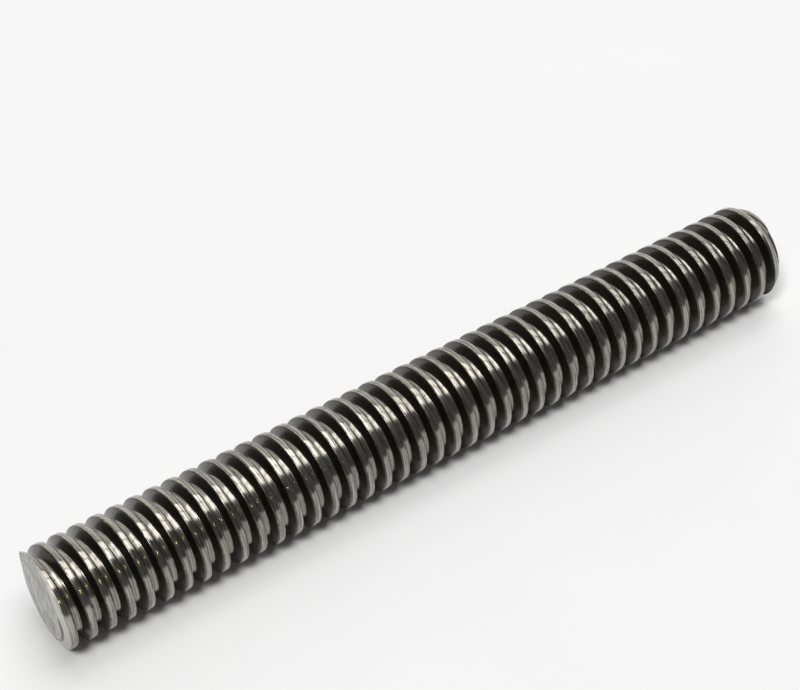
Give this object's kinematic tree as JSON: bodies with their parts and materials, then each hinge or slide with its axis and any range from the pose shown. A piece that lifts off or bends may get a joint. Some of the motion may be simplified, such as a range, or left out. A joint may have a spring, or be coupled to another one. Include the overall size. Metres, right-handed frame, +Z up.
{
  "type": "trapezoidal threaded rod",
  "caption": "Headless steel screw: straight rod with a coarse right-hand trapezoidal thread over its whole length, one end sawn a little askew, the other cut square and bevelled.",
  "frame": {"origin": "centre of the bounding box on the ground plane: the rod lies with its lowest crests at z = 0 and its axis 10 mm above", "axes": "+X along the rod's axis, from the askew sawn end to the square bevelled end; +Z up as the rod lies; +Y across it"},
  "size_m": [0.1676, 0.02, 0.02],
  "materials": {
    "steel": "bare cut steel, semi-bright on the crests and dark with oil in the grooves"
  },
  "bodies": {
    "root": {"threaded_rod": "steel"}
  },
  "joints": []
}
